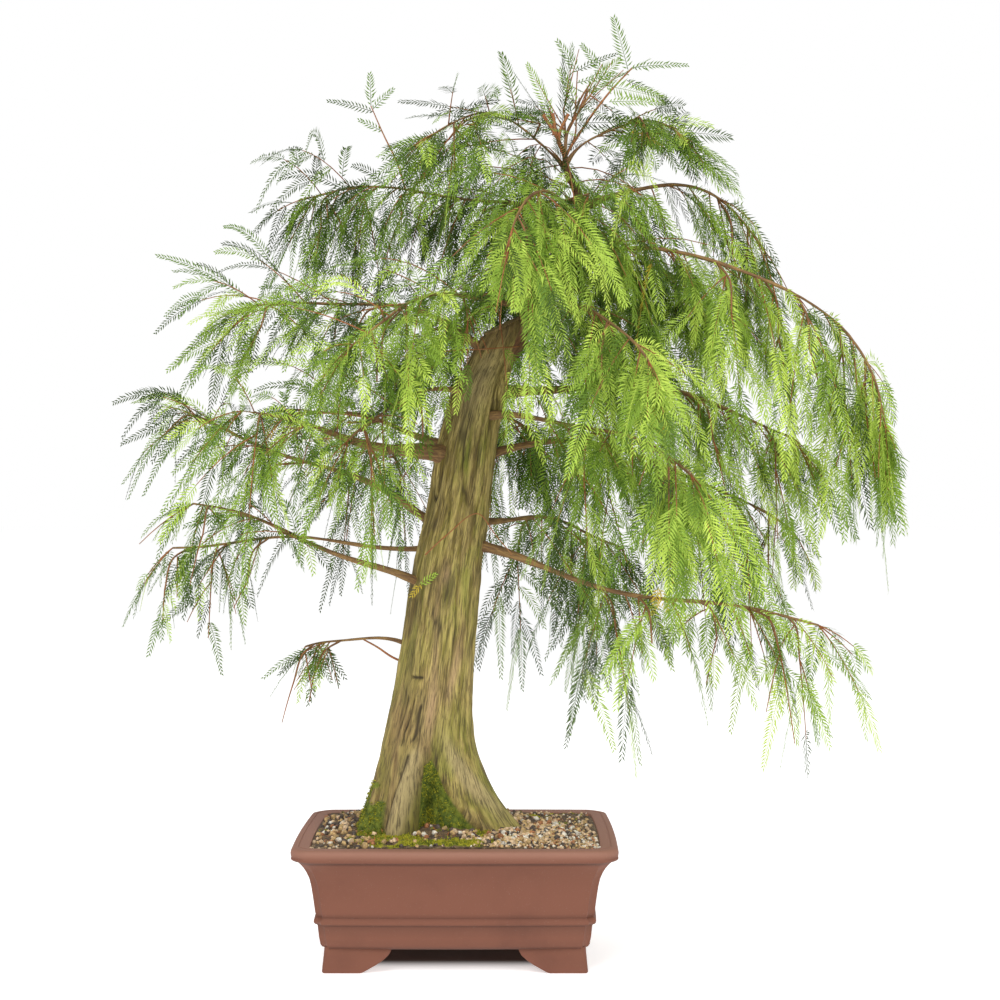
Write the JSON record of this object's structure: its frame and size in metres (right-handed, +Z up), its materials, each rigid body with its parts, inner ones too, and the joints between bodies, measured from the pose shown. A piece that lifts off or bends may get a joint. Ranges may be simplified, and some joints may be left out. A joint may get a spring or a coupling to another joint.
{
  "type": "potted bald cypress bonsai",
  "caption": "Bald cypress bonsai with a flared, cut-back trunk, one live leader and weeping feathery foliage, in a rectangular clay pot on corner feet.",
  "frame": {"origin": "on the ground, under the middle of the whole plant's box", "axes": "+Z up the tree, +X to the right and -Y towards the viewer of the pot's long front"},
  "size_m": [0.9252, 0.5708, 1.0986],
  "materials": {
    "pot": "unglazed brown clay, matt, with faint worn edges",
    "soil": "rough dark soil with pale gravel and patches of moss",
    "bark": "fibrous furrowed bark, tan and olive, mossy low down",
    "foliage": "soft light green needles in flat feathery sprays"
  },
  "bodies": {
    "root": {"bough_apex_left": "bark", "bough_apex_right": "bark", "bough_back_crown": "bark", "bough_back_left_high": "bark", "bough_back_left_low": "bark", "bough_back_middle": "bark", "bough_back_right_high": "bark", "bough_back_right_low": "bark", "bough_crown_left": "bark", "bough_crown_right": "bark", "bough_front_crown": "bark", "bough_front_left_high": "bark", "bough_front_left_middle": "bark", "bough_front_right_high": "bark", "bough_front_right_middle": "bark", "bough_left_heavy": "bark", "bough_left_high": "bark", "bough_left_lower": "bark", "bough_left_middle": "bark", "bough_left_slender": "bark", "bough_left_spur": "bark", "bough_left_upper": "bark", "bough_right_heavy": "bark", "bough_right_high": "bark", "bough_right_low": "bark", "bough_right_middle": "bark", "bough_right_shoulder": "bark", "foliage_apex": "foliage", "foliage_apex_left": "foliage", "foliage_apex_right": "foliage", "foliage_back_crown": "foliage", "foliage_back_left_high": "foliage", "foliage_back_left_low": "foliage", "foliage_back_middle": "foliage", "foliage_back_right_high": "foliage", "foliage_back_right_low": "foliage", "foliage_crown_left": "foliage", "foliage_crown_right": "foliage", "foliage_front_crown": "foliage", "foliage_front_left_high": "foliage", "foliage_front_left_middle": "foliage", "foliage_front_right_high": "foliage", "foliage_front_right_middle": "foliage", "foliage_left_heavy": "foliage", "foliage_left_high": "foliage", "foliage_left_lower": "foliage", "foliage_left_middle": "foliage", "foliage_left_slender": "foliage", "foliage_left_spur": "foliage", "foliage_left_upper": "foliage", "foliage_right_heavy": "foliage", "foliage_right_high": "foliage", "foliage_right_low": "foliage", "foliage_right_middle": "foliage", "foliage_right_shoulder": "foliage", "pot": "pot", "soil": "soil", "trunk": "bark"}
  },
  "joints": []
}
